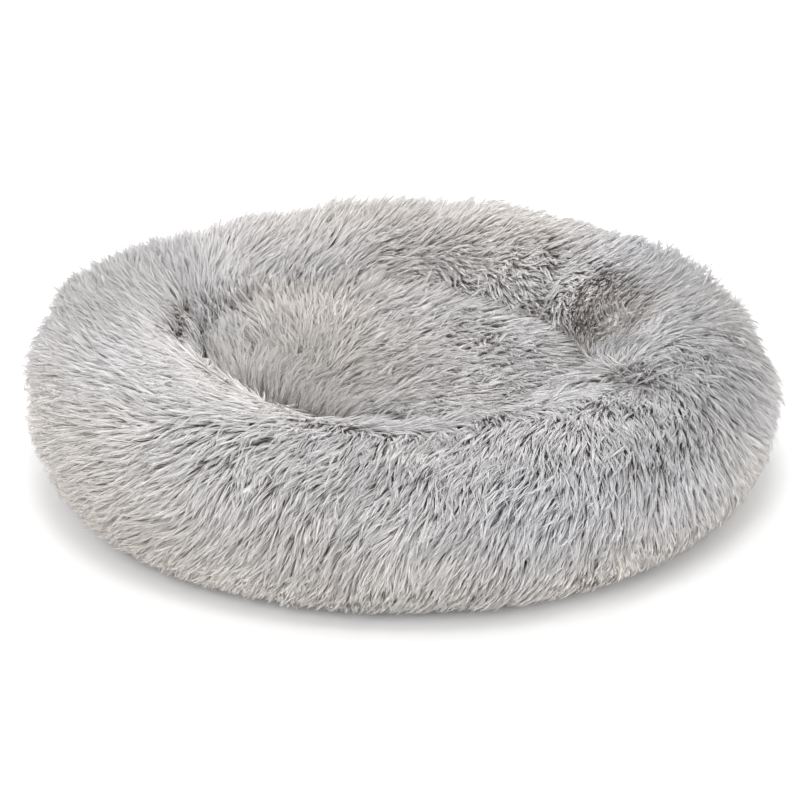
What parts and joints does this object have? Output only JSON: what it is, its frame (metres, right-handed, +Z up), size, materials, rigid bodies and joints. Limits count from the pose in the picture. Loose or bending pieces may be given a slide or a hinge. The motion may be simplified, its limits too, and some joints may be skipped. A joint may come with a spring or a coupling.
{
  "type": "pet cushion bed",
  "caption": "Round long-pile pet bed: a filled ring bolster round a plump filled centre cushion, on a cloth base with a straight underside zip.",
  "frame": {"origin": "on the ground, under the middle of the bed's outline", "axes": "+Z up; -Y towards the front, the side seen first; the underside zip runs along X and closes towards +X"},
  "size_m": [0.7406, 0.7448, 0.1927],
  "materials": {
    "cover_pile": "long shaggy pile, light grey, matt",
    "centre_pile": "long shaggy pile, light grey, lying flatter",
    "liner_cloth": "plain-woven off-white liner cloth",
    "fibre_filling": "loose white hollow fibre",
    "seam_tape": "woven tape",
    "base_cloth": "coarse woven base cloth with small grip dots",
    "binding": "folded woven binding",
    "label": "blank satin ribbon",
    "zip_tape": "herringbone zip tape",
    "zip_coil": "nylon coil",
    "zip_metal": "grey lacquered zinc"
  },
  "bodies": {
    "root": {"rim_cover": "cover_pile", "floor_cover": "centre_pile", "rim_liner": "liner_cloth", "floor_liner": "liner_cloth", "rim_fill": "fibre_filling", "floor_fill": "fibre_filling", "inner_seam_tape": "seam_tape", "base_panel_rear": "base_cloth", "base_panel_front": "base_cloth", "base_binding": "binding", "care_label": "label", "zip_tape_rear": "zip_tape", "zip_tape_front": "zip_tape", "zip_coil_rear": "zip_coil", "zip_coil_front": "zip_coil", "zip_stop_closed_end": "zip_metal", "zip_stop_open_end": "zip_metal"},
    "zip_slider": {"zip_slider": "zip_metal"},
    "zip_pull": {"zip_pull": "zip_metal"}
  },
  "joints": [
    {"name": "zip_slide", "type": "slide", "parent": "root", "child": "zip_slider", "axis": [-1, 0, 0], "range_m": [0, 0.38]},
    {"name": "zip_pull_swing", "type": "hinge", "parent": "zip_slider", "child": "zip_pull", "pos_m": [0.17278, 0.0157, 0.0014], "axis": [0, -1, 0], "range_deg": [0, 170]}
  ]
}
